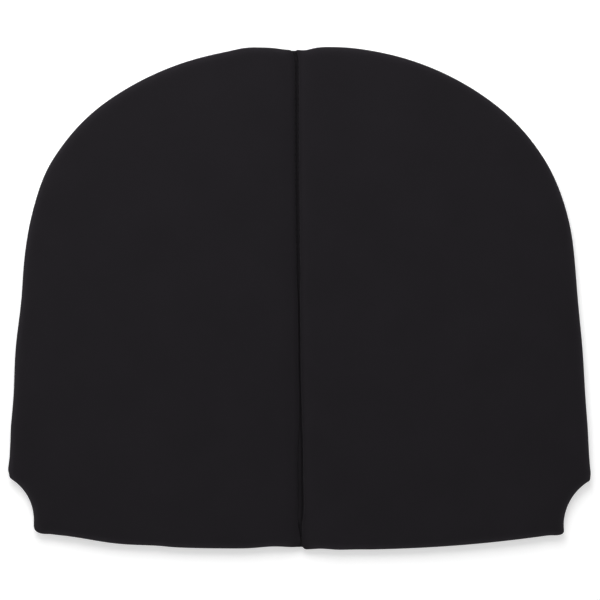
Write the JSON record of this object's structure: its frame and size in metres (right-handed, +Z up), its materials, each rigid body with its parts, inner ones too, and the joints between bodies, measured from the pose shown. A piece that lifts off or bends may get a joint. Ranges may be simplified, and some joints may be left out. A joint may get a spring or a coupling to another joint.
{
  "type": "folding padded mat",
  "caption": "Flat padded mat with a domed end and notched rear corners, sewn from cloth over foam sheets, that folds shut along a taped centre seam.",
  "frame": {"origin": "under the middle of the mat's outline, on the surface that it lies on", "axes": "+Z up, +X to the right across the fold line, +Y along the fold line towards the domed end"},
  "size_m": [0.466, 0.402, 0.012],
  "materials": {
    "face_cloth": "matte",
    "base_cloth": "matte",
    "foam": "matte",
    "thread": "satin",
    "tape": "matte"
  },
  "bodies": {
    "left_half": {"left_top_cloth": "face_cloth", "left_base_cloth": "base_cloth", "left_foam_core": "foam", "left_rim_stitches": "thread", "left_fold_stitches": "thread", "fold_tape": "tape", "front_bar_tack": "thread", "rear_bar_tack": "thread"},
    "right_half": {"right_top_cloth": "face_cloth", "right_base_cloth": "base_cloth", "right_foam_core": "foam", "right_rim_stitches": "thread", "right_fold_stitches": "thread"}
  },
  "joints": [
    {"name": "fold", "type": "hinge", "parent": "left_half", "child": "right_half", "pos_m": [0, 0, 0.01215], "axis": [0, -1, 0], "range_deg": [0, 180], "deforming": ["fold_tape"]}
  ]
}
